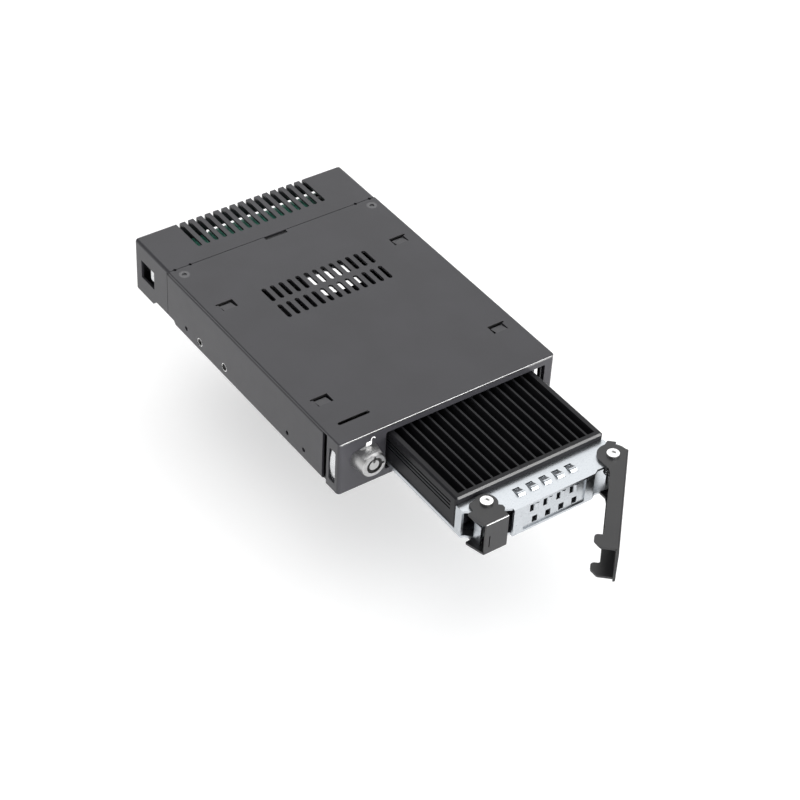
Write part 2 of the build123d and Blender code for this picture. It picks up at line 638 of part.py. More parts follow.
# Front bezel: folded face with two wings, a tray window and flanges above and below
with BuildPart() as front_bezel:
    with BuildSketch():
        with Locations((0, depth(BEZEL_DEPTH / 2))):
            Rectangle(WIDTH, BEZEL_DEPTH)
        with Locations((0, depth(BEZEL_SHEET + BEZEL_DEPTH / 2))):
            Rectangle(WIDTH - 2 * SHEET, BEZEL_DEPTH, mode=Mode.SUBTRACT)
    extrude(amount=COVER_BOTTOM)
    fillet(front_bezel.edges().filter_by(Axis.Z).group_by(Axis.Y)[0], radius=BEND)
    flange = (depth(BEZEL_SHEET), depth(BEZEL_DEPTH))
    block((-INNER_HALF, INNER_HALF), flange, (COVER_BOTTOM - SHEET, COVER_BOTTOM))
    block((-INNER_HALF, INNER_HALF), flange, (SHEET, 2 * SHEET))
    with BuildSketch(facing_front(FRONT)):
        with Locations(((WINDOW_LEFT + WINDOW_RIGHT) / 2, (WINDOW_BOTTOM + WINDOW_TOP) / 2)):
            RectangleRounded(WINDOW_RIGHT - WINDOW_LEFT, WINDOW_TOP - WINDOW_BOTTOM, WINDOW_CORNER)
        with Locations((LOCK_X, LOCK_Z)):
            Circle(LOCK_SHANK + FACE_GAP)
    extrude(amount=-BEZEL_SHEET, mode=Mode.SUBTRACT)
    # side windows for the grounding leaves
    with BuildSketch(Plane.YZ.offset(-HALF)):
        leaf_y = depth(LEAF_WINDOW_FRONT + LEAF_WINDOW_WIDTH / 2)
        with Locations((leaf_y, (LEAF_WINDOW_LOW + LEAF_WINDOW_HIGH) / 2)):
            RectangleRounded(LEAF_WINDOW_WIDTH, LEAF_WINDOW_HIGH - LEAF_WINDOW_LOW, WINDOW_CORNER)
    extrude(amount=WIDTH, mode=Mode.SUBTRACT)
    for side in (-1, 1):
        disc(side * BEZEL_SCREW_X, depth(BEZEL_SCREW_Y), SHEET, 2 * SHEET, M25[0] + RUNNING, Mode.SUBTRACT)
finish(front_bezel, "front_bezel")

# Grounding leaves: springy strips that bow out through the bezel's side windows
with BuildPart() as ground_springs:
    leaf_middle = (LEAF_WINDOW_LOW + LEAF_WINDOW_HIGH) / 2
    leaf_low, leaf_high = LEAF_WINDOW_LOW + LEAF_SHEET, LEAF_WINDOW_HIGH - LEAF_SHEET
    for side in (-1, 1):
        outer, inner = side * INNER_HALF, side * (INNER_HALF - LEAF_SHEET)
        with BuildSketch(facing_front(depth(LEAF_WINDOW_FRONT + LEAF_PLAY))):
            with BuildLine():
                ThreePointArc((outer, leaf_low), (outer + side * LEAF_BULGE, leaf_middle), (outer, leaf_high))
                Polyline(
                    (outer, leaf_high),
                    (outer, LEAF_WINDOW_HIGH + LEAF_LAP),
                    (inner, LEAF_WINDOW_HIGH + LEAF_LAP),
                    (inner, leaf_high),
                )
                ThreePointArc((inner, leaf_high), (inner + side * LEAF_BULGE, leaf_middle), (inner, leaf_low))
                Polyline(
                    (inner, leaf_low),
                    (inner, LEAF_WINDOW_LOW - LEAF_LAP),
                    (outer, LEAF_WINDOW_LOW - LEAF_LAP),
                    (outer, leaf_low),
                )
            make_face()
        extrude(amount=-(LEAF_WINDOW_WIDTH - 2 * LEAF_PLAY))
finish(ground_springs, "ground_springs")

# Spring clips behind the front part of the rear side windows
with BuildPart() as side_clips:
    for side in (-1, 1):
        with BuildSketch(Plane.YZ.offset(side * INNER_HALF)):
            with Locations((REAR - CLIP_WINDOW[0] - CLIP_LAP + CLIP_PLATE[0] / 2, CLIP_PLATE_Z)):
                RectangleRounded(CLIP_PLATE[0], CLIP_PLATE[1], WINDOW_CORNER)
        extrude(amount=-side * CLIP_SHEET)
finish(side_clips, "side_clips")

# Threaded inserts pressed into the side walls
with BuildPart() as side_nuts:
    for side in (-1, 1):
        for place in NUT_PLACES:
            side_disc(side, place, SIDE_HOLE_Z, FACE_GAP, SHEET, NUT_COLLAR - RUNNING / 2)
            side_disc(side, place, SIDE_HOLE_Z, SHEET, NUT_LENGTH - SHEET, NUT_FLANGE)
            side_disc(side, place, SIDE_HOLE_Z, 0, NUT_LENGTH, NUT_BORE, Mode.SUBTRACT)
finish(side_nuts, "side_nuts")

# Guide rails of the tray bay: foot, upright and top lip
with BuildPart() as tray_guide_left:
    with BuildSketch(facing_front(depth(GUIDE_FRONT))):
        with BuildLine():
            Polyline(
                (GUIDE_FACE - GUIDE_SHEET, SHEET),
                (GUIDE_FACE - GUIDE_SHEET + GUIDE_FOOT, SHEET),
                (GUIDE_FACE - GUIDE_SHEET + GUIDE_FOOT, TRAY_BOTTOM - SLIDE_PLAY),
                (GUIDE_FACE, TRAY_BOTTOM - SLIDE_PLAY),
                (GUIDE_FACE, SINK_TOP + SLIDE_PLAY),
                (GUIDE_FACE - GUIDE_SHEET + GUIDE_LIP, SINK_TOP + SLIDE_PLAY),
                (GUIDE_FACE - GUIDE_SHEET + GUIDE_LIP, SINK_TOP + SLIDE_PLAY + GUIDE_SHEET),
                (GUIDE_FACE - GUIDE_SHEET, SINK_TOP + SLIDE_PLAY + GUIDE_SHEET),
                close=True,
            )
        make_face()
    extrude(amount=-(GUIDE_REAR - GUIDE_FRONT))
    mouth = tray_guide_left.edges().filter_by(Axis.Z).group_by(Axis.Y)[0]
    at_face = mouth.filter_by(lambda edge: abs(edge.center().X - GUIDE_FACE) < FACE_GAP)
    chamfer(at_face, length=GUIDE_SHEET / 2)
    for place in GUIDE_SCREWS_Y:
        disc(GUIDE_SCREW_X, depth(place), SHEET, TRAY_BOTTOM, M25[0] + RUNNING, Mode.SUBTRACT)
finish(tray_guide_left, "tray_guide_left")

with BuildPart() as tray_guide_right:
    add(mirror(tray_guide_left.part, about=Plane.YZ.offset(TRAY_X), mode=Mode.PRIVATE))
finish(tray_guide_right, "tray_guide_right")

# Heat sink: base with fins, thick side walls, a closed front and screw bosses below
with BuildPart() as heat_sink:
    with BuildSketch(Plane.XY.offset(SINK_BOTTOM)):
        with Locations((TRAY_X, tray(SINK_FRONT + SINK_LENGTH / 2))):
            Rectangle(TRAY_WIDTH, SINK_LENGTH)
    extrude(amount=SINK_TOP - SINK_BOTTOM)
    fillet(heat_sink.edges().filter_by(Axis.Z).group_by(Axis.Y)[0], radius=SINK_CORNER)
    chamfer(heat_sink.edges().group_by(Axis.Z)[-1].filter_by(Axis.X).sort_by(Axis.Y)[:1], length=SINK_CHAMFER)
    # hollow below the base
    block(
        (TRAY_LEFT + SINK_WALL, TRAY_RIGHT - SINK_WALL),
        (tray(SINK_FRONT + SINK_WALL), tray(SINK_REAR)),
        (SINK_BOTTOM, SINK_BASE[0]),
        Mode.SUBTRACT,
    )
    # channels between the fins, closed by the front wall and open at the rear
    fin_pitch = (TRAY_WIDTH - 2 * SINK_WALL + FIN_THICKNESS) / (FIN_COUNT + 1)
    with BuildSketch(Plane.XY.offset(SINK_BASE[1])):
        with Locations((TRAY_X, tray(SINK_FRONT + SINK_WALL + SINK_LENGTH / 2))):
            with GridLocations(fin_pitch, 0, FIN_COUNT + 1, 1):
                Rectangle(fin_pitch - FIN_THICKNESS, SINK_LENGTH)
    extrude(amount=SINK_TOP, mode=Mode.SUBTRACT)
    # fine grooves and a ledge along both sides
    for side, face in ((1, TRAY_LEFT), (-1, TRAY_RIGHT)):
        for drop in GROOVE_DROPS:
            z_limits = (SINK_TOP - drop - GROOVE_HEIGHT / 2, SINK_TOP - drop + GROOVE_HEIGHT / 2)
            y_limits = (tray(SINK_FRONT + GROOVE_START), tray(SINK_REAR))
            block((face, face + side * GROOVE_DEPTH), y_limits, z_limits, Mode.SUBTRACT)
        y_limits = (tray(SINK_FRONT + LEDGE_START), tray(SINK_REAR))
        z_limits = (SINK_BOTTOM, SINK_BOTTOM + LEDGE_HEIGHT)
        block((face, face + side * LEDGE_DEPTH), y_limits, z_limits, Mode.SUBTRACT)
    for x in BOSSES_X:
        for place in BOSSES_Y:
            disc(x, tray(place), PAN_TOP, SINK_BASE[0], BOSS_RADIUS)
            disc(x, tray(place), PAN_TOP, SINK_BASE[0] - SHEET, M25[0] + RUNNING, Mode.SUBTRACT)
finish(heat_sink, "heat_sink")

# Tray pan: folded sheet under the heat sink, with raised pads for the tray board
with BuildPart() as tray_pan:
    with BuildSketch(facing_front(tray(SINK_FRONT))):
        with Locations((TRAY_X, TRAY_BOTTOM + HEIGHT / 2)):
            RectangleRounded(TRAY_WIDTH, HEIGHT, BEND)
            RectangleRounded(TRAY_WIDTH - 2 * SHEET, HEIGHT - 2 * SHEET, BEND - SHEET, mode=Mode.SUBTRACT)
        with Locations((TRAY_X, SINK_BOTTOM + HEIGHT)):
            Rectangle(2 * TRAY_WIDTH, 2 * HEIGHT, mode=Mode.SUBTRACT)
    extrude(amount=-(TRAY_BOARD_REAR - SINK_FRONT))
    for side in (-1, 1):
        for place in TRAY_SCREWS_Y:
            x = TRAY_X + side * TRAY_SCREW_X
            disc(x, tray(place), TRAY_BOTTOM, TRAY_BOARD_LOW, TRAY_PAD_RADIUS)
            disc(x, tray(place), TRAY_BOTTOM, TRAY_BOARD_LOW, M2[0] + RUNNING, Mode.SUBTRACT)
    for x in BOSSES_X:
        for place in BOSSES_Y:
            countersink(x, tray(place), TRAY_BOTTOM, M25, SHEET, -1, Mode.SUBTRACT)
    for x in BRACKET_SCREWS_X:
        countersink(x, tray(BRACKET_SCREWS_Y), TRAY_BOTTOM, M25, SHEET, -1, Mode.SUBTRACT)
finish(tray_pan, "tray_pan")

# Front bracket: C-shaped sheet with louvres above and ports in its stepped face
with BuildPart() as front_bracket:
    cheek_front = SINK_FRONT - CHEEK_LENGTH
    for low in (BRACKET_TOP - SHEET, PAN_TOP):
        with BuildSketch(Plane.XY.offset(low)):
            with BuildLine():
                (left_x, left_y), (ear_x, ear_y), (_, post_y) = BRACKET_LEFT_CORNERS
                (bend_x, bend_y), (_, nose_y), (end_x, end_y) = BRACKET_RIGHT_CORNERS
                Polyline(
                    (TRAY_LEFT, tray(SINK_FRONT)),
                    (TRAY_LEFT, tray(cheek_front)),
                    (TRAY_LEFT + CHEEK_CORNER[0], tray(cheek_front - CHEEK_CORNER[1])),
                    (CATCH_X + left_x, tray(CATCH_PIVOT_Y + left_y)),
                    (CATCH_X + ear_x, tray(CATCH_PIVOT_Y + ear_y)),
                    (LEFT_POST[0], tray(BRACKET_FACE + post_y)),
                    (LEFT_POST[0], tray(BRACKET_FACE)),
                    (RIGHT_POST[1], tray(BRACKET_FACE)),
                    (RIGHT_POST[1] + bend_x, tray(BRACKET_FACE + bend_y)),
                    (LEVER_X, tray(LEVER_PIVOT_Y + nose_y)),
                    (TRAY_RIGHT + end_x, tray(LEVER_PIVOT_Y + end_y)),
                    (TRAY_RIGHT, tray(LEVER_PIVOT_Y)),
                    (TRAY_RIGHT, tray(SINK_FRONT)),
                    close=True,
                )
            make_face()
        extrude(amount=SHEET)
    for x, y in ((LEVER_X, LEVER_PIVOT_Y), (CATCH_X, CATCH_PIVOT_Y)):
        disc(x, tray(y), PAN_TOP, BRACKET_TOP, PIVOT_RADIUS + RUNNING, Mode.SUBTRACT)
    # tongue that runs back onto the pan
    block(
        (BRACKET_SCREWS_X[0] - TONGUE_SIDE, BRACKET_SCREWS_X[1] + TONGUE_SIDE),
        (tray(SINK_FRONT - SHEET), tray(SINK_FRONT + TONGUE_LENGTH)),
        (PAN_TOP, PAN_TOP + SHEET),
    )
    for x in BRACKET_SCREWS_X:
        disc(x, tray(BRACKET_SCREWS_Y), PAN_TOP, PAN_TOP + SHEET, M25[0] + RUNNING, Mode.SUBTRACT)
    # face: two posts and a panel set back between them
    for post in (LEFT_POST, RIGHT_POST):
        block(post, (tray(BRACKET_FACE), tray(BRACKET_FACE + SHEET)), (PAN_TOP, BRACKET_TOP))
    panel_face = BRACKET_FACE + PANEL_STEP
    block((LEFT_POST[1], RIGHT_POST[0]), (tray(panel_face), tray(panel_face + SHEET)), (PAN_TOP, BRACKET_TOP))
    port_pitch = (PANEL_WIDTH - PORT_MARGIN) / PORT_COUNT
    upper_middle = (PANEL_MIDDLE + UPPER_PORT_SHIFT, BRACKET_TOP - UPPER_PORT_DROP)
    with BuildSketch(facing_front(tray(BRACKET_FACE))):
        with Locations(upper_middle):
            with GridLocations(port_pitch, 0, PORT_COUNT, 1):
                Rectangle(*UPPER_PORT)
        with Locations((PANEL_MIDDLE + LOWER_PORT_SHIFT, PAN_TOP + LOWER_PORT_RISE)):
            with GridLocations(port_pitch, 0, PORT_COUNT, 1):
                Rectangle(*LOWER_PORT)
    extrude(amount=-3 * SHEET, mode=Mode.SUBTRACT)
    # half-round hoods that cover the right half of the upper ports
    with BuildSketch(Plane.XY.offset(upper_middle[1] - HOOD_HEIGHT / 2)):
        with Locations((upper_middle[0] + HOOD_RADIUS, tray(panel_face + HOOD_SHEET))):
            with GridLocations(port_pitch, 0, PORT_COUNT, 1):
                Circle(HOOD_RADIUS)
                Circle(HOOD_RADIUS - HOOD_SHEET, mode=Mode.SUBTRACT)
        with Locations((PANEL_MIDDLE, tray(panel_face + HOOD_SHEET + HOOD_RADIUS))):
            Rectangle(2 * PANEL_WIDTH, 2 * HOOD_RADIUS, mode=Mode.SUBTRACT)
    extrude(amount=HOOD_HEIGHT)
    # louvres lanced from the top flange, standing up at the front
    louvre_front, louvre_rear = tray(LOUVRE_SPAN[0]), tray(LOUVRE_SPAN[1])
    louvre_pitch = (PANEL_WIDTH + LOUVRE_MARGIN) / LOUVRE_COUNT
    crest = louvre_front + LOUVRE_CREST
    for index in range(LOUVRE_COUNT):
        middle = PANEL_MIDDLE + LOUVRE_SHIFT + (index - (LOUVRE_COUNT - 1) / 2) * louvre_pitch
        x_limits = (middle - LOUVRE_WIDTH / 2, middle + LOUVRE_WIDTH / 2)
        block(x_limits, (louvre_front, louvre_rear), (BRACKET_TOP - SHEET, BRACKET_TOP), Mode.SUBTRACT)
        with BuildSketch(Plane.YZ.offset(x_limits[0] + FACE_GAP)):
            with BuildLine():
                outside = FilletPolyline(
                    (louvre_front, BRACKET_TOP - SHEET / 2),
                    (crest, BRACKET_TOP + LOUVRE_RISE),
                    (louvre_rear - LOUVRE_SLOT, BRACKET_TOP - LOUVRE_SLOT),
                    radius=LOUVRE_ROUND,
                )
                Polyline(
                    outside @ 1,
                    (louvre_rear - LOUVRE_SLOT, BRACKET_TOP - SHEET),
                    (crest + LOUVRE_SLOT, BRACKET_TOP + LOUVRE_RISE - LOUVRE_SHEET - LOUVRE_SLOT),
                    (louvre_front + LOUVRE_SHEET, BRACKET_TOP - SHEET),
                    (louvre_front, BRACKET_TOP - SHEET),
                    outside @ 0,
                )
            make_face()
        extrude(amount=LOUVRE_WIDTH - 2 * FACE_GAP)
    # side cheek at the left and the small upright stop inside the catch
    block((TRAY_LEFT, TRAY_LEFT + SHEET), (tray(cheek_front), tray(SINK_FRONT)), (PAN_TOP, BRACKET_TOP))
    stop_rear = tray(CATCH_PIVOT_Y - STOP_TAB_DEPTH[0])
    block((CATCH_X - STOP_TAB[0] - STOP_TAB[1], CATCH_X - STOP_TAB[0]),
          (stop_rear - STOP_TAB_DEPTH[1], stop_rear), (PAN_TOP, BRACKET_TOP - STOP_TAB[0]))
finish(front_bracket, "front_bracket")

# Pivot screws and springs of the lever and the catch
with BuildPart() as lever_pivot:
    pivot_screw(LEVER_X, tray(LEVER_PIVOT_Y))
finish(lever_pivot, "lever_pivot")

with BuildPart() as catch_pivot:
    pivot_screw(CATCH_X, tray(CATCH_PIVOT_Y))
finish(catch_pivot, "catch_pivot")

with BuildPart() as lever_spring:
    pivot_spring(LEVER_X, tray(LEVER_PIVOT_Y))
finish(lever_spring, "lever_spring")

with BuildPart() as catch_spring:
    pivot_spring(CATCH_X, tray(CATCH_PIVOT_Y))
finish(catch_spring, "catch_spring")

# Lever: folded channel whose two flanges carry the ear, the cam toe and the hook.
# It is drawn closed, lying along -X, and then swung open about its pivot.
hook_end = LEVER_HOOK_INSET - LEVER_LENGTH
hook_start = hook_end + LEVER_HOOK_WIDTH
lever_outline = (
    ((LEVER_HEEL, -LEVER_WEB), 0),
    ((LEVER_HEEL + SHEET, 0), CAM_TOE_ROUND),
    (CAM_TOE[0], CAM_TOE_ROUND),
    (CAM_TOE[1], CAM_TOE_ROUND),
    ((LEVER_HEEL, LEVER_HOOK_REACH), 0),
    (LEVER_SHOULDER[0], 0),
    (LEVER_SHOULDER[1], CAM_TOE_ROUND),
    (LEVER_SHOULDER[2], 1.5),
    (LEVER_SHOULDER[3], 2.0),
    ((hook_start, LEVER_SHOULDER[3][1]), 0.8),
    ((hook_start, LEVER_HOOK_REACH), 1.6),
    ((hook_end + LEVER_HOOK_SLOPE, LEVER_HOOK_REACH), 2.0),
    ((hook_end, LEVER_HOOK_NOSE), LEVER_HOOK_NOSE),
    ((hook_end, -LEVER_WEB), 0),
)
with BuildPart() as lever:
    for low in (EAR_BOTTOM, EAR_TOP - SHEET):
        with BuildSketch(Plane.XY.offset(low)):
            Circle(LEVER_EAR)
            with BuildLine():
                FilletPolyline(*(point for point, _ in lever_outline), close=True,
                               radius=[corner for _, corner in lever_outline])
            make_face()
            with Locations((0, -2 * LEVER_EAR - LEVER_WEB)):
                Rectangle(8 * LEVER_EAR, 4 * LEVER_EAR, mode=Mode.SUBTRACT)
        extrude(amount=SHEET)
    block((-LEVER_LENGTH, LEVER_HEEL), (-LEVER_WEB, -LEVER_WEB + SHEET), (EAR_BOTTOM, EAR_TOP))
    fillet(lever.edges().filter_by(Axis.X).group_by(Axis.Y)[0], radius=FOLD_ROUND * SHEET)
    disc(0, 0, EAR_BOTTOM, EAR_TOP, PIVOT_RADIUS + RUNNING, Mode.SUBTRACT)
lever.part = Pos(LEVER_X, tray(LEVER_PIVOT_Y), 0) * Rot(0, 0, LEVER_OPEN) * lever.part
finish(lever, "lever")

# Catch: short folded channel beside the lever's free end, with a finger lip at its left.
# It is drawn about its pivot and then moved to its place.
finger_front = (-CATCH_LEFT, -CATCH_WEB)
catch_outline = (
    (CATCH_REAR[0], 0),
    (CATCH_REAR[1], 3 * CATCH_CORNER),
    (CATCH_REAR[2], CATCH_CORNER),
    (CATCH_FINGER, CATCH_CORNER),
    (finger_front, 0),
    ((CATCH_RIGHT, -CATCH_WEB), 0),
    *((corner, CATCH_CORNER) for corner in CATCH_NOSE),
)
with BuildPart() as catch:
    for low in (EAR_BOTTOM, EAR_TOP - SHEET):
        with BuildSketch(Plane.XY.offset(low)):
            Circle(CATCH_EAR)
            with BuildLine():
                FilletPolyline(*(point for point, _ in catch_outline), close=True,
                               radius=[corner for _, corner in catch_outline])
            make_face()
        extrude(amount=SHEET)
    block((-CATCH_LEFT, CATCH_RIGHT), (-CATCH_WEB, -CATCH_WEB + SHEET), (EAR_BOTTOM, EAR_TOP))
    fillet(catch.edges().filter_by(Axis.X).group_by(Axis.Y)[0], radius=FOLD_ROUND * SHEET)
    # crescent lip bent down along the left edge of the top flange
    finger = Vector(*finger_front) - Vector(*CATCH_FINGER)
    lip_height, lip_sheet, lip_inset = CATCH_LIP
    lip_plane = Plane(
        origin=(*CATCH_FINGER, EAR_TOP - SHEET), x_dir=finger, z_dir=finger.cross(Vector(0, 0, 1))
    )
    with BuildSketch(lip_plane):
        with BuildLine():
            ends = ((lip_inset, 0), (finger.length - lip_inset, 0))
            ThreePointArc(ends[0], (finger.length / 2, -lip_height), ends[1])
            Line(ends[1], ends[0])
        make_face()
    extrude(amount=-lip_sheet)
    disc(0, 0, EAR_BOTTOM, EAR_TOP, PIVOT_RADIUS + RUNNING, Mode.SUBTRACT)
    # fine groove down the web
    groove_left, groove_width, groove_depth = CATCH_GROOVE
    block((-groove_left, -groove_left - groove_width), (-CATCH_WEB, -CATCH_WEB + groove_depth),
          CATCH_GROOVE_Z, Mode.SUBTRACT)
catch.part = Pos(CATCH_X, tray(CATCH_PIVOT_Y), 0) * catch.part
finish(catch, "catch")

# Tray board, its socket, the drive's standoff and the plug at the rear
with BuildPart() as tray_board:
    with BuildSketch(Plane.XY.offset(TRAY_BOARD_LOW)):
        with Locations((TRAY_X, tray((TRAY_BOARD_FRONT + TRAY_BOARD_REAR) / 2))):
            RectangleRounded(TRAY_BOARD_WIDTH, TRAY_BOARD_REAR - TRAY_BOARD_FRONT, TRAY_BOARD_CORNER)
        for place in TRAY_SCREWS_Y:
            with Locations((TRAY_X, tray(place))):
                with GridLocations(2 * TRAY_SCREW_X, 0, 2, 1):
                    Circle(M2[0] + RUNNING, mode=Mode.SUBTRACT)
    extrude(amount=TRAY_BOARD_SHEET)
finish(tray_board, "tray_board")

with BuildPart() as m2_socket:
    half = PAD_HALF_WIDTH + TRAY_BOARD_GAP
    y_limits = (tray(M2_SOCKET_FRONT), tray(M2_SOCKET_REAR))
    block((TRAY_X - half, TRAY_X + half), y_limits, (TRAY_BOARD_TOP, M2_SOCKET_TOP))
    top_rear = m2_socket.edges().group_by(Axis.Z)[-1].filter_by(Axis.X).sort_by(Axis.Y)[-1:]
    chamfer(top_rear, length=M2_SOCKET_CHAMFER)
    block(
        (TRAY_X - PLUG_HALF_WIDTH, TRAY_X + PLUG_HALF_WIDTH),
        (tray(M2_SOCKET_FRONT), tray(M2_SOCKET_FRONT + M2_SLOT[2])),
        (SSD_STANDOFF_TOP - M2_SLOT[0], SSD_STANDOFF_TOP + M2_SLOT[1]),
        Mode.SUBTRACT,
    )
finish(m2_socket, "m2_socket")

with BuildPart() as ssd_standoff:
    disc(TRAY_X, tray(SSD_STANDOFF_Y), TRAY_BOARD_TOP, SSD_STANDOFF_TOP, SSD_STANDOFF_RADIUS)
    disc(TRAY_X, tray(SSD_STANDOFF_Y), TRAY_BOARD_TOP, SSD_STANDOFF_TOP, M2[0] + RUNNING, Mode.SUBTRACT)
finish(ssd_standoff, "ssd_standoff")

with BuildPart() as ssd_screw:
    pan_screw(TRAY_X, tray(SSD_STANDOFF_Y), SSD_STANDOFF_TOP, M2, SSD_STANDOFF_HEIGHT)
finish(ssd_screw, "ssd_screw")

with BuildPart() as tray_board_screws:
    for side in (-1, 1):
        for place in TRAY_SCREWS_Y:
            x = TRAY_X + side * TRAY_SCREW_X
            pan_screw(x, tray(place), TRAY_BOARD_TOP, M2, TRAY_BOARD_TOP - TRAY_BOTTOM)
finish(tray_board_screws, "tray_board_screws")

with BuildPart() as tray_plug:
    half = TRAY_BOARD_WIDTH / 2
    tongue_z = (TRAY_BOARD_TOP + PLUG_TONGUE_Z[0], TRAY_BOARD_TOP + PLUG_TONGUE_Z[1])
    block((TRAY_X - half, TRAY_X + half), (tray(PLUG_FACE - PLUG_BODY), tray(PLUG_FACE)),
          (TRAY_BOARD_TOP, M2_SOCKET_TOP))
    block((TRAY_X - PLUG_HALF_WIDTH, TRAY_X + PLUG_HALF_WIDTH),
          (tray(PLUG_FACE - SHEET), tray(PLUG_TIP)), tongue_z)
    chamfer(tray_plug.edges().filter_by(Axis.X).group_by(Axis.Y)[-1], length=PLUG_CHAMFER)
finish(tray_plug, "tray_plug")

with BuildPart() as thermal_pad:
    block(
        (TRAY_X - PAD_HALF_WIDTH, TRAY_X + PAD_HALF_WIDTH),
        (tray(SSD_STANDOFF_Y + PAD_MARGIN), tray(M2_SOCKET_FRONT - PAD_MARGIN)),
        (SINK_BASE[0] - PAD_SHEET, SINK_BASE[0]),
    )
finish(thermal_pad, "thermal_pad")

# Screws that hold the tray together, all driven from below
with BuildPart() as heat_sink_screws:
    for x in BOSSES_X:
        for place in BOSSES_Y:
            flat_screw(x, tray(place), TRAY_BOTTOM, M25, BOSS_SCREW_LENGTH, -1)
finish(heat_sink_screws, "heat_sink_screws")

with BuildPart() as bracket_screws:
    for x in BRACKET_SCREWS_X:
        flat_screw(x, tray(BRACKET_SCREWS_Y), TRAY_BOTTOM, M25, BRACKET_SCREW_LENGTH, -1)
finish(bracket_screws, "bracket_screws")

# Main board at the rear, with its standoffs, screws and parts
with BuildPart() as main_board:
    with BuildSketch(Plane.XY.offset(BOARD_LOW)):
        with Locations((0, depth(BOARD_MIDDLE))):
            Rectangle(2 * BOARD_HALF_WIDTH, BOARD_REAR - BOARD_FRONT)
        lip_left, lip_right = REAR_WINDOW[0] + BOARD_LIP, REAR_WINDOW[1] - 2 * BOARD_LIP
        with Locations(((lip_left + lip_right) / 2, depth(BOARD_REAR))):
            Rectangle(lip_right - lip_left, 2 * BOARD_LIP)
        for place in STANDOFFS_Y:
            with Locations((0, depth(place))):
                with GridLocations(2 * STANDOFF_X, 0, 2, 1):
                    Circle(M3[0] + RUNNING, mode=Mode.SUBTRACT)
    extrude(amount=BOARD_SHEET)
finish(main_board, "main_board")

with BuildPart() as board_standoffs:
    for x in (-STANDOFF_X, STANDOFF_X):
        for place in STANDOFFS_Y:
            disc(x, depth(place), SHEET, BOARD_LOW, STANDOFF_RADIUS)
            disc(x, depth(place), BOARD_LOW - STANDOFF_THREAD, BOARD_LOW, M3[0] + RUNNING, Mode.SUBTRACT)
finish(board_standoffs, "board_standoffs")

with BuildPart() as board_screws:
    for x in (-STANDOFF_X, STANDOFF_X):
        for place in STANDOFFS_Y:
            pan_screw(x, depth(place), BOARD_TOP, M3, BOARD_SCREW_LENGTH)
finish(board_screws, "board_screws")

with BuildPart() as board_chips:
    for x, back, width, length, height in CHIPS:
        with BuildSketch(Plane.XY.offset(BOARD_TOP)):
            with Locations((x, depth(BOARD_MIDDLE + back))):
                Rectangle(width, length)
        extrude(amount=height)
finish(board_chips, "board_chips")

with BuildPart() as board_capacitors:
    for x, back in CAPACITORS:
        disc(x, depth(BOARD_MIDDLE + back), BOARD_TOP, BOARD_TOP + CAPACITOR[1], CAPACITOR[0])
    fillet(board_capacitors.edges().group_by(Axis.Z)[-1], radius=CAPACITOR[2])
finish(board_capacitors, "board_capacitors")

# Socket under the main board that the tray's plug runs into
with BuildPart() as tray_socket:
    block((TRAY_X - SOCKET_HALF_WIDTH, TRAY_X + SOCKET_HALF_WIDTH),
          (depth(SOCKET_FACE), depth(SOCKET_FACE + SOCKET_LENGTH)), (SOCKET_LOW, BOARD_LOW))
    mouth_half = PLUG_HALF_WIDTH + SOCKET_MOUTH_PLAY[0]
    block(
        (TRAY_X - mouth_half, TRAY_X + mouth_half),
        (depth(SOCKET_FACE), depth(PLUG_TIP + SOCKET_MOUTH_PLAY[2])),
        (tongue_z[0] - SOCKET_MOUTH_PLAY[1], tongue_z[1] + SOCKET_MOUTH_PLAY[1]),
        Mode.SUBTRACT,
    )
    # step that clears the board's front edge
    block((-WIDTH, WIDTH), (depth(SOCKET_FACE), depth(BOARD_FRONT - FACE_GAP)),
          (BOARD_LOW - SOCKET_BRIDGE, BOARD_TOP), Mode.SUBTRACT)
finish(tray_socket, "tray_socket")

# Rear connectors under the board: a metal data cage and a keyed power shroud
with BuildPart() as data_connector:
    with BuildSketch(facing_front(depth(LENGTH - DATA_REAR_GAP))):
        with Locations((DATA_X, BOARD_LOW - DATA_CAGE[1] / 2)):
            Rectangle(DATA_CAGE[0], DATA_CAGE[1])
    extrude(amount=DATA_CAGE[2])
    with BuildSketch(facing_front(depth(LENGTH - DATA_REAR_GAP))):
        with Locations((DATA_X, BOARD_LOW - DATA_CAGE[1] / 2)):
            Rectangle(DATA_MOUTH[0], DATA_MOUTH[1])
    extrude(amount=DATA_MOUTH[2], mode=Mode.SUBTRACT)
finish(data_connector, "data_connector")

with BuildPart() as power_connector:
    power_rear = LENGTH - POWER_REAR_GAP
    power_z = BOARD_LOW - POWER_SHROUD[1] / 2
    with BuildSketch(facing_front(depth(power_rear))):
        with Locations((POWER_X, power_z)):
            Rectangle(POWER_SHROUD[0], POWER_SHROUD[1])
    extrude(amount=POWER_SHROUD[2])
    with BuildSketch(facing_front(depth(power_rear))):
        with Locations((POWER_X, power_z)):
            Rectangle(POWER_MOUTH[0], POWER_MOUTH[1])
    extrude(amount=POWER_MOUTH[2], mode=Mode.SUBTRACT)
    # L-shaped contact blade inside the shroud
    blade_left, blade_right = POWER_X - POWER_BLADE[0] / 2, POWER_X + POWER_BLADE[0] / 2
    blade_y = (depth(power_rear - POWER_MOUTH[2] - SHEET), depth(power_rear - POWER_BLADE[2]))
    blade_low, blade_high = power_z - POWER_BLADE[1], power_z + POWER_BLADE[1]
    block((blade_left, blade_right), blade_y, (power_z, blade_high))
    block((blade_left, blade_left + POWER_BLADE[1]), blade_y, (blade_low, blade_high))
finish(power_connector, "power_connector")

# Screws of the enclosure
with BuildPart() as cover_screws:
    for side in (-1, 1):
        flat_screw(side * COVER_SCREW_X, depth(COVER_SCREW_Y), HEIGHT, M25, COVER_SCREW_LENGTH)
finish(cover_screws, "cover_screws")

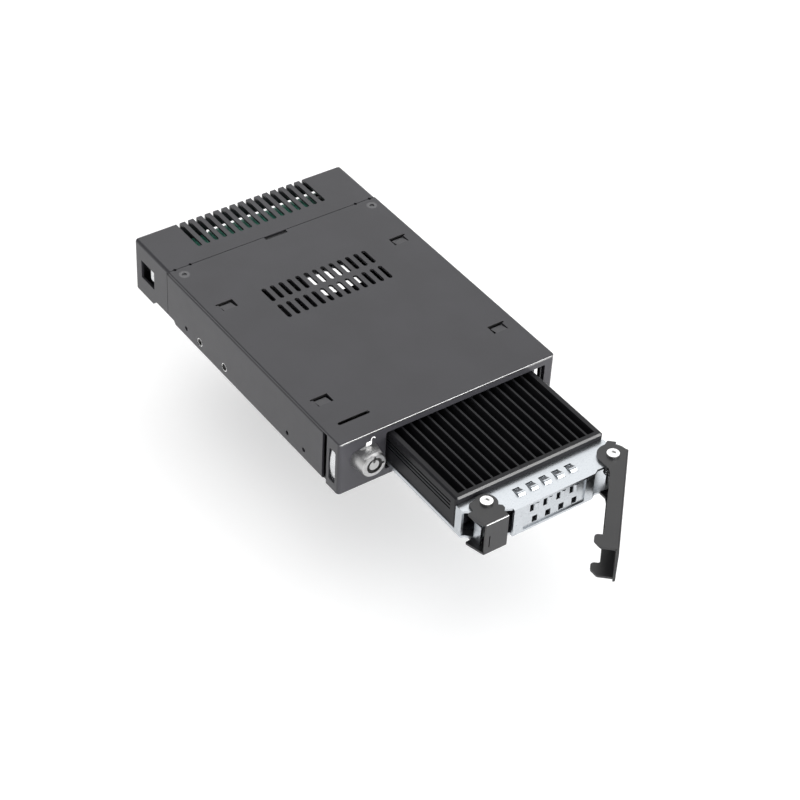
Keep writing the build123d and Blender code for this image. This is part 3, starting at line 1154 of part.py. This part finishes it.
with BuildPart() as bezel_screws:
    for side in (-1, 1):
        flat_screw(side * BEZEL_SCREW_X, depth(BEZEL_SCREW_Y), 0, M25, BEZEL_SCREW_LENGTH, -1)
finish(bezel_screws, "bezel_screws")

with BuildPart() as guide_screws:
    for x in GUIDE_SCREWS_X:
        for place in GUIDE_SCREWS_Y:
            flat_screw(x, depth(place), 0, M25, TRAY_BOTTOM - 2 * SLIDE_PLAY, -1)
finish(guide_screws, "guide_screws")

with BuildPart() as rear_screws:
    for side in (-1, 1):
        x = side * REAR_SCREW_X
        rear_disc(x, REAR_SCREW_Z, REAR, M3[2], M3[1])
        rear_disc(x, REAR_SCREW_Z, REAR - REAR_SCREW_LENGTH, REAR_SCREW_LENGTH, M3[0])
        rear_hex_recess(x, REAR_SCREW_Z, REAR + M3[2], M3[1] / 2, M3[2] / 2)
finish(rear_screws, "rear_screws")

# Lock: turned housing and nut, and the core that turns with the key
with BuildPart() as lock_housing:
    with BuildSketch(Plane.YZ.offset(LOCK_X)):
        with BuildLine():
            Polyline(
                (depth(-LOCK_PROUD), LOCK_Z + LOCK_BORE),
                (depth(-LOCK_PROUD), LOCK_Z + LOCK_FACE - LOCK_CHAMFER),
                (depth(-LOCK_PROUD + LOCK_CHAMFER), LOCK_Z + LOCK_FACE),
                (depth(0), LOCK_Z + LOCK_BASE),
                (depth(0), LOCK_Z + LOCK_SHANK),
                (depth(LOCK_SHANK_REAR), LOCK_Z + LOCK_SHANK),
                (depth(LOCK_SHANK_REAR), LOCK_Z + LOCK_BORE),
                close=True,
            )
        make_face()
    revolve(axis=Axis((LOCK_X, 0, LOCK_Z), (0, 1, 0)))
    # flat above, behind the front collar
    block((LOCK_X - LOCK_BASE, LOCK_X + LOCK_BASE), (depth(LOCK_COLLAR - LOCK_PROUD), depth(0)),
          (LOCK_Z + LOCK_FLAT, LOCK_Z + 2 * LOCK_BASE), Mode.SUBTRACT)
    # key notches in the face, above and at the right of the bore
    key_half, key_deep, key_length = LOCK_KEYWAY[0] / 2, LOCK_BORE + LOCK_KEYWAY[1], LOCK_KEYWAY[2]
    key_y = (depth(-LOCK_PROUD), depth(-LOCK_PROUD + key_length))
    block((LOCK_X - key_half, LOCK_X + key_half), key_y, (LOCK_Z, LOCK_Z + key_deep), Mode.SUBTRACT)
    block((LOCK_X, LOCK_X + key_deep), key_y, (LOCK_Z - key_half, LOCK_Z + key_half), Mode.SUBTRACT)
finish(lock_housing, "lock_housing")

with BuildPart() as lock_nut:
    with BuildSketch(facing_front(depth(BEZEL_SHEET))):
        with Locations((LOCK_X, LOCK_Z)):
            RegularPolygon(LOCK_NUT[0], 6)
            Circle(LOCK_SHANK + RUNNING, mode=Mode.SUBTRACT)
    extrude(amount=-LOCK_NUT[1])
finish(lock_nut, "lock_nut")

with BuildPart() as lock_plug:
    plug_front, plug_rear = depth(-2 * SHEET), depth(CAM_FRONT)
    post_front = depth(-LOCK_PROUD + SLIDE_PLAY)
    rear_disc(LOCK_X, LOCK_Z, post_front, plug_front - post_front, LOCK_POST)
    rear_disc(LOCK_X, LOCK_Z, plug_front, plug_rear - plug_front, LOCK_BORE - RUNNING)
    with BuildSketch(facing_front(plug_rear)):
        with Locations((LOCK_X, LOCK_Z)):
            Rectangle(CAM_SQUARE, CAM_SQUARE)
    extrude(amount=-CAM_SHEET)
    rear_disc(LOCK_X, LOCK_Z, plug_rear - CAM_SCREW_LENGTH, CAM_SCREW_LENGTH + CAM_SHEET, M2[0] + RUNNING,
              Mode.SUBTRACT)
    # notch for the key's lug in the post
    block((LOCK_X - key_half, LOCK_X + key_half), key_y,
          (LOCK_Z + LOCK_POST / 2, LOCK_Z + LOCK_POST), Mode.SUBTRACT)
finish(lock_plug, "lock_plug")

with BuildPart() as lock_cam:
    with BuildSketch(facing_front(plug_rear)):
        with Locations((LOCK_X, LOCK_Z)):
            Circle(CAM_HUB)
            with Locations((0, (CAM_HUB - CAM_REACH) / 2)):
                SlotOverall(CAM_REACH + CAM_HUB, 1.5 * CAM_HUB, rotation=90)
            Rectangle(CAM_SQUARE + 2 * RUNNING, CAM_SQUARE + 2 * RUNNING, mode=Mode.SUBTRACT)
    extrude(amount=-CAM_SHEET)
finish(lock_cam, "lock_cam")

with BuildPart() as cam_screw:
    head_front = plug_rear + CAM_SHEET
    rear_disc(LOCK_X, LOCK_Z, head_front, CAM_SCREW_HEAD[1], CAM_SCREW_HEAD[0])
    rear_disc(LOCK_X, LOCK_Z, head_front - CAM_SCREW_LENGTH, CAM_SCREW_LENGTH, M2[0])
    rear_hex_recess(LOCK_X, LOCK_Z, head_front + CAM_SCREW_HEAD[1], CAM_SCREW_HEAD[0] / 2, SCREW_RECESS)
finish(cam_screw, "cam_screw")
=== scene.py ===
import bmesh
import bpy
import json
import math
from mathutils import Matrix, Vector


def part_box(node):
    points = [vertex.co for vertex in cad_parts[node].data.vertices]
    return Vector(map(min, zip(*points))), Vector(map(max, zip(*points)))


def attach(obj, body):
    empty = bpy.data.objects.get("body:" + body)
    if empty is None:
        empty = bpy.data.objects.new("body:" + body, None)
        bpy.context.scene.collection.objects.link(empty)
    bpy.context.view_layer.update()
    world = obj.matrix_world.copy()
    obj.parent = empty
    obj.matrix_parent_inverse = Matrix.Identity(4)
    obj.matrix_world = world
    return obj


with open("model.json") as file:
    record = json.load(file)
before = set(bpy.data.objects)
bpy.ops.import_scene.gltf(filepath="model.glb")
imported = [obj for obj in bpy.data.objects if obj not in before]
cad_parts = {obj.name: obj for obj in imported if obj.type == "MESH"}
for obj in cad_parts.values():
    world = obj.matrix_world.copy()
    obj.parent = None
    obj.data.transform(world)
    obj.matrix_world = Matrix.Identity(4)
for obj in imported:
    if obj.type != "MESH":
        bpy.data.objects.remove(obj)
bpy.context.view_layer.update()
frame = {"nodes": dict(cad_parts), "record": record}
MM = 0.001

# The photograph's view: a long lens from the front left, rolled a little. Angles are in radians,
# the focal length and the sensor in millimetres, and everything else in metres.
AZIMUTH = -0.64836
ELEVATION = 0.70595
ROLL = 0.058575
DISTANCE = 862.06 * MM
FOCAL_LENGTH = 99.68
SENSOR = 36.0
CLIP_START = 0.05
CLIP_END = 20.0
AIM_X = -7.83 * MM
AIM_BEHIND_BEZEL = 21.24 * MM
AIM_Z = 12.5 * MM
BEZEL_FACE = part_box("front_bezel")[0].y
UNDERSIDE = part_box("bottom_chassis")[0].z

# The floor lies below the part, because the photograph's soft shadow is apart from the object
FLOOR_DROP = 48 * MM
FLOOR_SIZE = 12.0
FLOOR_WHITE = 0.8
FLOOR_ROUGHNESS = 0.9
FLOOR_GLOW = 0.3

# The walls' light fades into the ceiling's between the two heights of WALL_TOP, where 0 is level
# with the eye and 1 is straight up
WALL_BRIGHTNESS = 0.9
CEILING_BRIGHTNESS = 0.22
WALL_TOP = (0.1, 0.45)

# Softboxes: name, direction and distance from the bezel's foot, size and brightness
SOFTBOXES = (
    ("back_right", (0.46, 0.61, 0.62), 1.5, (1.7, 1.3), 1.25),
    ("overhead", (-0.1, 0.2, 1.0), 1.6, (2.2, 2.2), 1.15),
    ("front_right", (0.46, -0.65, 0.61), 1.4, (0.7, 0.5), 1.6),
    ("front", (0.15, -1.0, 0.12), 1.4, (1.4, 0.8), 11.5),
)

# Noises: scale, where a greater one is finer, depth and strength of relief, and octaves of detail.
# TONE_BAND is the middle part of a noise's range, over which a tone goes from low to high.
CLOUD_SCALE = 45.0
GLOSS_SCALE = 160.0
PEEL_SCALE = 2600.0
PEEL_DEPTH = 0.06 * MM
ROLLED_SCALE = 900.0
ROLLED_DEPTH = 0.03 * MM
MOTTLE_SCALE = 300.0
MOULD_SCALE = 1400.0
MOULD_DEPTH = 0.05 * MM
MOULD_RELIEF = 0.15
PLAIN_DETAIL = 2.0
RICH_DETAIL = 3.0
TONE_BAND = (0.35, 0.65)

# How far the roughness wanders below and above its mean
COAT_SPREAD = (-0.015, 0.015)
METAL_SPREAD = (-0.03, 0.04)

# Painted highlight: surfaces that face one way are painted bright bare metal, which on the
# cover's front edge stands partly for its bare cut edge. Given: the way they face, and how well
# a surface has to face that way for the highlight to begin and to be whole, as a cosine
FRONT_EDGE_HIGHLIGHT = ((0, -1, 0), 0.6, 0.8)
FRONT_CHAMFER_HIGHLIGHT = ((0, -1, 1), 0.93, 0.98)

# Finishes by name: those of the record's slots, and cover_paint, coil_wire and white_print, which
# one cover, two springs and the padlock sign have for themselves. low and high are the two tones
# that a finish wanders between.
CHARCOAL = dict(
    low=(0.033, 0.0325, 0.037), high=(0.038, 0.0375, 0.043), roughness=0.33, specular=0.35,
)
# cover_paint, lever_paint and black_anodised have a painted highlight on their front edges
COATED = {
    "charcoal_paint": CHARCOAL,
    "cover_paint": dict(CHARCOAL, highlight_edges=FRONT_EDGE_HIGHLIGHT, bare_highlight_tone=0.22),
    "lever_paint": dict(
        low=(0.010, 0.010, 0.011), high=(0.014, 0.014, 0.015), roughness=0.34,
        highlight_edges=FRONT_CHAMFER_HIGHLIGHT, bare_highlight_tone=0.4,
    ),
    "black_anodised": dict(
        low=(0.012, 0.012, 0.014), high=(0.016, 0.016, 0.018), roughness=0.38,
        scale=1800.0, relief=0.12, specular=0.15, highlight_edges=FRONT_CHAMFER_HIGHLIGHT, bare_highlight_tone=0.2,
    ),
    "black_screws": dict(
        low=(0.07, 0.07, 0.075), high=(0.09, 0.09, 0.095), roughness=0.25,
        scale=3000.0, relief=0.1,
    ),
}
METALS = {
    "zinc_sheet": dict(
        low=(0.49, 0.515, 0.54), high=(0.54, 0.565, 0.59), roughness=0.30,
        squeeze=(1, 6, 1), relief=0.04,
    ),
    "spring_steel": dict(
        low=(0.60, 0.61, 0.62), high=(0.70, 0.71, 0.72), roughness=0.25, squeeze=(6, 1, 1),
    ),
    "coil_wire": dict(
        low=(0.16, 0.16, 0.17), high=(0.24, 0.24, 0.25), roughness=0.35, squeeze=(6, 1, 1),
    ),
    "bright_screws": dict(
        low=(0.76, 0.76, 0.76), high=(0.86, 0.86, 0.85), roughness=0.24, scale=2500.0,
    ),
    "brass": dict(low=(0.66, 0.50, 0.24), high=(0.76, 0.60, 0.32), roughness=0.3),
    "chrome": dict(
        low=(0.46, 0.46, 0.46), high=(0.50, 0.50, 0.50), roughness=0.3, scale=4000.0, relief=0.01,
    ),
    "capacitor_can": dict(low=(0.7, 0.7, 0.72), high=(0.8, 0.8, 0.82), roughness=0.35),
}
MOULDED = {
    "green_board": dict(low=(0.03, 0.17, 0.12), high=(0.05, 0.24, 0.17), roughness=0.35),
    "black_plastic": dict(
        low=(0.022, 0.022, 0.024), high=(0.032, 0.031, 0.034), roughness=0.45,
    ),
    "grey_pad": dict(low=(0.35, 0.40, 0.46), high=(0.45, 0.50, 0.56), roughness=0.8),
    "white_print": dict(low=(0.80, 0.80, 0.80), high=(0.88, 0.88, 0.87), roughness=0.5),
}

# Nodes that vary their slot: the cover's front edge has a painted highlight, partly a bare cut
# edge, and the coils take a darker steel than the slot's
OWN_FINISH = {
    "top_cover": "cover_paint", "lever_spring": "coil_wire", "catch_spring": "coil_wire",
}

# Padlock sign on the bezel above the lock: its body and its shackle, seen from the front
SIGN_LEFT = -38.6 * MM
SIGN_LOW = 18.7 * MM
SIGN_WIDTH = 2.6 * MM
SIGN_HEIGHT = 2.0 * MM
SIGN_CORNER = 0.15 * SIGN_WIDTH
SIGN_THICKNESS = 0.03 * MM
SHACKLE_RADIUS = 0.8 * MM
SHACKLE_WIDTH = 0.42 * MM
SHACKLE_LEG = 0.6 * MM
CORNER_STEPS = 4
SHACKLE_STEPS = 16


def make_camera():
    """Camera at the photograph's place, with its axes worked out from the three angles."""
    data = bpy.data.cameras.new("camera")
    data.sensor_width = SENSOR
    data.lens = FOCAL_LENGTH
    data.clip_start = CLIP_START
    data.clip_end = CLIP_END
    back = Vector((
        math.sin(AZIMUTH) * math.cos(ELEVATION),
        -math.cos(AZIMUTH) * math.cos(ELEVATION),
        math.sin(ELEVATION),
    ))
    right = (-back).cross(Vector((0, 0, 1))).normalized()
    up = right.cross(-back)
    rolled_right = math.cos(ROLL) * right + math.sin(ROLL) * up
    rolled_up = math.cos(ROLL) * up - math.sin(ROLL) * right
    place = Vector((AIM_X, BEZEL_FACE + AIM_BEHIND_BEZEL, AIM_Z)) + back * DISTANCE
    camera = bpy.data.objects.new("camera", data)
    camera.matrix_world = Matrix((
        (rolled_right.x, rolled_up.x, back.x, place.x),
        (rolled_right.y, rolled_up.y, back.y, place.y),
        (rolled_right.z, rolled_up.z, back.z, place.z),
        (0, 0, 0, 1),
    ))
    bpy.context.scene.collection.objects.link(camera)
    bpy.context.scene.camera = camera


def make_world():
    """White walls all round that darken towards the ceiling."""
    world = bpy.data.worlds.new("studio")
    world.use_nodes = True
    tree = world.node_tree
    coordinates = tree.nodes.new("ShaderNodeTexCoord")
    split = tree.nodes.new("ShaderNodeSeparateXYZ")
    tree.links.new(coordinates.outputs["Generated"], split.inputs["Vector"])
    walls, ceiling = grey(WALL_BRIGHTNESS), grey(CEILING_BRIGHTNESS)
    shade = ramp(tree, split.outputs["Z"], walls, ceiling, WALL_TOP)
    tree.links.new(shade, tree.nodes["Background"].inputs["Color"])
    bpy.context.scene.world = world


def make_floor():
    """Plain white floor that glows a little."""
    bpy.ops.mesh.primitive_plane_add(size=FLOOR_SIZE, location=(0, 0, UNDERSIDE - FLOOR_DROP))
    floor = bpy.context.object
    floor.name = "floor"
    material, _, principled = new_material("floor_white")
    principled.inputs["Base Color"].default_value = (*grey(FLOOR_WHITE), 1)
    principled.inputs["Roughness"].default_value = FLOOR_ROUGHNESS
    principled.inputs["Emission Color"].default_value = (*grey(1), 1)
    principled.inputs["Emission Strength"].default_value = FLOOR_GLOW
    floor.data.materials.append(material)


def softbox(name, direction, distance, size, brightness):
    """Rectangular light of an even brightness that faces the bezel's foot."""
    data = bpy.data.lights.new(name, "AREA")
    data.shape = "RECTANGLE"
    data.size, data.size_y = size
    data.energy = brightness * math.pi * size[0] * size[1]
    light = bpy.data.objects.new(name, data)
    toward = Vector(direction).normalized()
    light.location = Vector((0, BEZEL_FACE, 0)) + toward * distance
    light.rotation_mode = "QUATERNION"
    light.rotation_quaternion = (-toward).to_track_quat("-Z", "Y")
    bpy.context.scene.collection.objects.link(light)


def grey(tone):
    """A value as a colour."""
    return (tone, tone, tone)


def new_material(name):
    """Node material with its tree and its principled shader."""
    material = bpy.data.materials.new(name)
    material.use_nodes = True
    tree = material.node_tree
    return material, tree, tree.nodes["Principled BSDF"]


def texture_noise(tree, scale, detail=PLAIN_DETAIL, squeeze=(1, 1, 1)):
    """Noise in the part's own coordinates, finer along the axis that the grain runs across."""
    coordinates = tree.nodes.new("ShaderNodeTexCoord")
    mapping = tree.nodes.new("ShaderNodeMapping")
    mapping.inputs["Scale"].default_value = squeeze
    noise = tree.nodes.new("ShaderNodeTexNoise")
    noise.inputs["Scale"].default_value = scale
    noise.inputs["Detail"].default_value = detail
    tree.links.new(coordinates.outputs["Object"], mapping.inputs["Vector"])
    tree.links.new(mapping.outputs["Vector"], noise.inputs["Vector"])
    return noise.outputs["Fac"]


def ramp(tree, source, low, high, band=TONE_BAND):
    """Blend from one colour to another while a value runs through a band."""
    blend = tree.nodes.new("ShaderNodeValToRGB")
    for element, position, colour in zip(blend.color_ramp.elements, band, (low, high)):
        element.position = position
        element.color = (*colour, 1)
    tree.links.new(source, blend.inputs["Fac"])
    return blend.outputs["Color"]


def bump(tree, principled, source, strength, depth):
    """Fine relief from a noise."""
    node = tree.nodes.new("ShaderNodeBump")
    node.inputs["Strength"].default_value = strength
    node.inputs["Distance"].default_value = depth
    tree.links.new(source, node.inputs["Height"])
    tree.links.new(node.outputs["Normal"], principled.inputs["Normal"])


def roughen(tree, principled, source, roughness, spread):
    """Roughness that wanders about its mean with a noise."""
    low, high = (grey(roughness + step) for step in spread)
    tree.links.new(ramp(tree, source, low, high), principled.inputs["Roughness"])


def facing(tree, direction, start, end):
    """Mask of the surfaces that face one way, in the part's own coordinates."""
    coordinates = tree.nodes.new("ShaderNodeTexCoord")
    product = tree.nodes.new("ShaderNodeVectorMath")
    product.operation = "DOT_PRODUCT"
    product.inputs[1].default_value = Vector(direction).normalized()
    tree.links.new(coordinates.outputs["Normal"], product.inputs[0])
    return ramp(tree, product.outputs["Value"], grey(0), grey(1), (start, end))


def coated(
    name, low, high, roughness, scale=PEEL_SCALE, relief=0.25, specular=0.5,
    highlight_edges=None, bare_highlight_tone=None,
):
    """Powder coat with a fine orange peel, and a painted highlight of bare metal on some edges."""
    material, tree, principled = new_material(name)
    tone = ramp(tree, texture_noise(tree, CLOUD_SCALE, RICH_DETAIL), low, high)
    # Painted highlight: the chosen surfaces take a bright bare-metal tone and become metallic
    if highlight_edges:
        mask = facing(tree, *highlight_edges)
        blend = tree.nodes.new("ShaderNodeMix")
        blend.data_type = "RGBA"
        tree.links.new(mask, blend.inputs["Factor"])
        tree.links.new(tone, blend.inputs["A"])
        blend.inputs["B"].default_value = (*grey(bare_highlight_tone), 1)
        tree.links.new(mask, principled.inputs["Metallic"])
        tone = blend.outputs["Result"]
    tree.links.new(tone, principled.inputs["Base Color"])
    bump(tree, principled, texture_noise(tree, scale), relief, PEEL_DEPTH)
    roughen(tree, principled, texture_noise(tree, GLOSS_SCALE), roughness, COAT_SPREAD)
    principled.inputs["Specular IOR Level"].default_value = specular
    return material


def metal(name, low, high, roughness, squeeze=(1, 1, 1), scale=ROLLED_SCALE, relief=0.1):
    """Bare or plated metal with a fine rolled grain."""
    material, tree, principled = new_material(name)
    principled.inputs["Metallic"].default_value = 1.0
    grain = texture_noise(tree, scale, RICH_DETAIL, squeeze)
    tree.links.new(ramp(tree, grain, low, high), principled.inputs["Base Color"])
    roughen(tree, principled, grain, roughness, METAL_SPREAD)
    bump(tree, principled, grain, relief, ROLLED_DEPTH)
    return material


def moulded(name, low, high, roughness):
    """Moulded plastic, rubber, print or solder mask with a faint grain."""
    material, tree, principled = new_material(name)
    mottle = texture_noise(tree, MOTTLE_SCALE)
    tree.links.new(ramp(tree, mottle, low, high), principled.inputs["Base Color"])
    bump(tree, principled, texture_noise(tree, MOULD_SCALE), MOULD_RELIEF, MOULD_DEPTH)
    principled.inputs["Roughness"].default_value = roughness
    return material


def make_materials():
    """Every finish by its name."""
    materials = {name: coated(name, **look) for name, look in COATED.items()}
    materials.update((name, metal(name, **look)) for name, look in METALS.items())
    materials.update((name, moulded(name, **look)) for name, look in MOULDED.items())
    return materials


def dress_nodes(materials):
    """Give every CAD node the finish of its slot, or its own where it has one."""
    for entry in frame["record"]["subparts"]:
        name = entry["node"]
        worn = frame["nodes"][name].data.materials
        worn.clear()
        worn.append(materials[OWN_FINISH.get(name, entry["material_slot"])])


def arc(middle_x, middle_z, radius, angles):
    """Points of an arc in the plane of the bezel's face."""
    return [
        (middle_x + radius * math.cos(angle), middle_z + radius * math.sin(angle))
        for angle in angles
    ]


def raised(shape, points):
    """Add a thin plate with this outline, standing on the bezel's face."""
    back, front = (
        [shape.verts.new((x, BEZEL_FACE - rise, z)) for x, z in points]
        for rise in (0, SIGN_THICKNESS)
    )
    shape.faces.new(back)
    shape.faces.new(front[::-1])
    for point in range(len(points)):
        shape.faces.new((back[point], back[point - 1], front[point - 1], front[point]))


def make_padlock_sign(material):
    """Printed sign of an open padlock: a body, and a shackle swung to the right."""
    shape = bmesh.new()
    left, right = SIGN_LEFT + SIGN_CORNER, SIGN_LEFT + (SIGN_WIDTH - SIGN_CORNER)
    low, high = SIGN_LOW + SIGN_CORNER, SIGN_LOW + (SIGN_HEIGHT - SIGN_CORNER)
    body = []
    for quarter, (x, z) in enumerate(((right, high), (left, high), (left, low), (right, low))):
        turns = [math.pi / 2 * (quarter + step / CORNER_STEPS) for step in range(CORNER_STEPS + 1)]
        body.extend(arc(x, z, SIGN_CORNER, turns))
    raised(shape, body)
    x = SIGN_LEFT + SIGN_WIDTH - SHACKLE_WIDTH / 2 + SHACKLE_RADIUS
    z = SIGN_LOW + SIGN_HEIGHT + SHACKLE_LEG
    outer = SHACKLE_RADIUS + SHACKLE_WIDTH / 2
    inner = SHACKLE_RADIUS - SHACKLE_WIDTH / 2
    leg = [(x - outer, z - SHACKLE_LEG), (x - inner, z - SHACKLE_LEG)]
    turns = [math.pi * step / SHACKLE_STEPS for step in range(SHACKLE_STEPS + 1)]
    raised(shape, arc(x, z, outer, turns) + leg + arc(x, z, inner, turns[::-1]))
    bmesh.ops.recalc_face_normals(shape, faces=shape.faces)
    mesh = bpy.data.meshes.new("padlock_sign")
    shape.to_mesh(mesh)
    shape.free()
    sign = bpy.data.objects.new("padlock_sign", mesh)
    bpy.context.scene.collection.objects.link(sign)
    mesh.materials.append(material)
    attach(sign, "chassis")


bpy.context.scene.view_settings.view_transform = "Standard"
make_camera()
make_world()
make_floor()
for light in SOFTBOXES:
    softbox(*light)
finishes = make_materials()
dress_nodes(finishes)
make_padlock_sign(finishes["white_print"])
